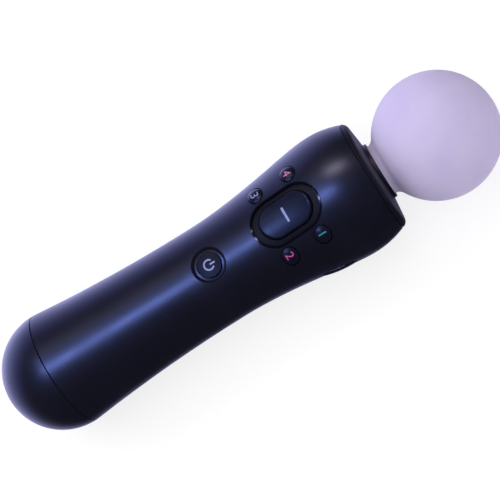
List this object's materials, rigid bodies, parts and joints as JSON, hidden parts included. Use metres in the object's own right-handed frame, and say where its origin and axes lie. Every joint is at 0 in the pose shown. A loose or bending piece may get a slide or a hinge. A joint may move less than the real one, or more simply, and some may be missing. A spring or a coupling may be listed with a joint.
{
  "type": "motion controller wand",
  "caption": "Hand-held motion controller wand: waisted two-part grip with oval main button, round buttons, side buttons, underside trigger and a translucent light ball on a short neck.",
  "frame": {"origin": "mid length and mid width, at the lowest point of the trigger", "axes": "+X along the wand from the tail towards the ball, +Z out of the button side, +Y towards the select button"},
  "size_m": [0.2, 0.0464, 0.0476],
  "materials": {
    "satin_black": "satin, fine grain",
    "gloss_black": "polished",
    "smoked_clear": "polished, tinted",
    "ball_white": "soft translucent rubber-like plastic",
    "frame_grey": "moulded",
    "lamp_white": "moulded",
    "lens_clear": "clear moulded lens",
    "board_green": "solder mask",
    "chip_black": "moulded epoxy",
    "steel": "plain",
    "screw_black": "blackened",
    "socket_metal": "plated",
    "gold": "gold plated",
    "rubber_grey": "silicone",
    "foam_black": "foam",
    "cell_wrap": "shrink wrap",
    "lead_red": "insulated wire",
    "lead_grey": "insulated wire",
    "flex_amber": "polyimide film",
    "plug_white": "nylon"
  },
  "bodies": {
    "wand": {"upper_shell": "satin_black", "lower_shell": "satin_black", "tail_cap": "satin_black", "collar_ring": "gloss_black", "diffuser_sphere": "ball_white", "button_bezel": "gloss_black", "trigger_pin": "steel", "trigger_spring": "steel", "trigger_sensor": "chip_black", "reset_switch": "chip_black", "inner_frame": "frame_grey", "frame_screws": "steel", "shell_screws": "screw_black", "board_screws": "steel", "main_board": "board_green", "processor_chip": "chip_black", "radio_module": "socket_metal", "motion_sensors": "chip_black", "keypad_membrane": "rubber_grey", "side_switches": "chip_black", "battery": "cell_wrap", "battery_pad": "foam_black", "battery_socket": "plug_white", "battery_lead": "lead_red", "rumble_motor": "steel", "motor_boot": "foam_black", "motor_lead": "lead_red", "motor_socket": "plug_white", "tail_board": "board_green", "tail_board_screws": "steel", "usb_socket": "socket_metal", "extension_socket": "chip_black", "charging_contacts": "gold", "strap_bar": "screw_black", "tail_cable": "lead_grey", "cable_sockets": "plug_white", "lamp_holder": "lamp_white", "led_board": "board_green", "rgb_led": "lens_clear", "lamp_lens": "lens_clear", "lamp_screws": "steel", "led_flex": "flex_amber", "flex_socket": "plug_white"},
    "main_button": {"main_button": "smoked_clear"},
    "face_button_1": {"face_button_1": "smoked_clear"},
    "face_button_2": {"face_button_2": "smoked_clear"},
    "face_button_3": {"face_button_3": "smoked_clear"},
    "face_button_4": {"face_button_4": "smoked_clear"},
    "home_button": {"home_button": "gloss_black"},
    "start_button": {"start_button": "satin_black"},
    "select_button": {"select_button": "satin_black"},
    "trigger": {"trigger": "satin_black"},
    "reset_button": {"reset_button": "frame_grey"},
    "motor_rotor": {"motor_shaft": "steel", "eccentric_weight": "gold"}
  },
  "joints": [
    {"name": "main_press", "type": "slide", "parent": "wand", "child": "main_button", "axis": [0, 0, -1], "range_m": [0, 0.0008], "stiffness_N_per_m": 600, "springref_m": -0.0005},
    {"name": "face_press_1", "type": "slide", "parent": "wand", "child": "face_button_1", "axis": [0, 0, -1], "range_m": [0, 0.0008], "stiffness_N_per_m": 600, "springref_m": -0.0005},
    {"name": "face_press_2", "type": "slide", "parent": "wand", "child": "face_button_2", "axis": [0, 0, -1], "range_m": [0, 0.0008], "stiffness_N_per_m": 600, "springref_m": -0.0005},
    {"name": "face_press_3", "type": "slide", "parent": "wand", "child": "face_button_3", "axis": [0, 0, -1], "range_m": [0, 0.0008], "stiffness_N_per_m": 600, "springref_m": -0.0005},
    {"name": "face_press_4", "type": "slide", "parent": "wand", "child": "face_button_4", "axis": [0, 0, -1], "range_m": [0, 0.0008], "stiffness_N_per_m": 600, "springref_m": -0.0005},
    {"name": "home_press", "type": "slide", "parent": "wand", "child": "home_button", "axis": [0, 0, -1], "range_m": [0, 0.0008], "stiffness_N_per_m": 600, "springref_m": -0.0005},
    {"name": "start_press", "type": "slide", "parent": "wand", "child": "start_button", "axis": [0, 1, 0], "range_m": [0, 0.0008], "stiffness_N_per_m": 600, "springref_m": -0.0005},
    {"name": "select_press", "type": "slide", "parent": "wand", "child": "select_button", "axis": [0, -1, 0], "range_m": [0, 0.0008], "stiffness_N_per_m": 600, "springref_m": -0.0005},
    {"name": "reset_press", "type": "slide", "parent": "wand", "child": "reset_button", "axis": [0, 0, 1], "range_m": [0, 0.0005], "stiffness_N_per_m": 600, "springref_m": -0.0005},
    {"name": "trigger_pull", "type": "hinge", "parent": "wand", "child": "trigger", "pos_m": [0.011, 0, 0.0108], "axis": [0, -1, 0], "range_deg": [0, 12], "stiffness_Nm_per_rad": 0.095, "springref_deg": -18.05, "deforming": ["trigger_spring"]},
    {"name": "motor_spin", "type": "hinge", "parent": "wand", "child": "motor_rotor", "pos_m": [-0.073, 0, 0.0194], "axis": [1, 0, 0], "continuous": true}
  ]
}
